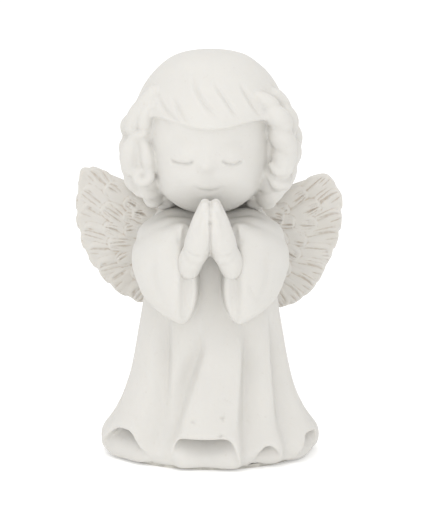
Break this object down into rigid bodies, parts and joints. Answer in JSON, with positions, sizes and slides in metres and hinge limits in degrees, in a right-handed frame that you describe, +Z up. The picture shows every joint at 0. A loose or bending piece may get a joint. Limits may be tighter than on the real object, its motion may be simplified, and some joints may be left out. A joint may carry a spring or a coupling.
{
  "type": "resin angel figurine",
  "caption": "Cast resin figurine of a praying child angel with ringlets, a long pleated robe with bell sleeves, and carved feather wings.",
  "frame": {"origin": "centre of the figurine's box, on the surface it stands on", "axes": "+Z up, the face and the praying hands towards -Y, the wings across X"},
  "size_m": [0.0734, 0.0516, 0.11],
  "materials": {
    "cast_resin": "matte, slightly chalky, off-white",
    "wing_resin": "matte, off-white with a warm wash in the grooves",
    "steel": "plain drawn wire",
    "glue": "dull amber, uneven",
    "felt": "short nap"
  },
  "bodies": {
    "root": {"robe_casting": "cast_resin", "head_casting": "cast_resin", "hands_casting": "cast_resin", "left_wing_casting": "wing_resin", "right_wing_casting": "wing_resin", "neck_dowel": "steel", "left_wing_upper_pin": "steel", "left_wing_lower_pin": "steel", "right_wing_upper_pin": "steel", "right_wing_lower_pin": "steel", "neck_glue_ring": "glue", "left_wing_glue_bed": "glue", "right_wing_glue_bed": "glue", "base_felt_pad": "felt"}
  },
  "joints": []
}
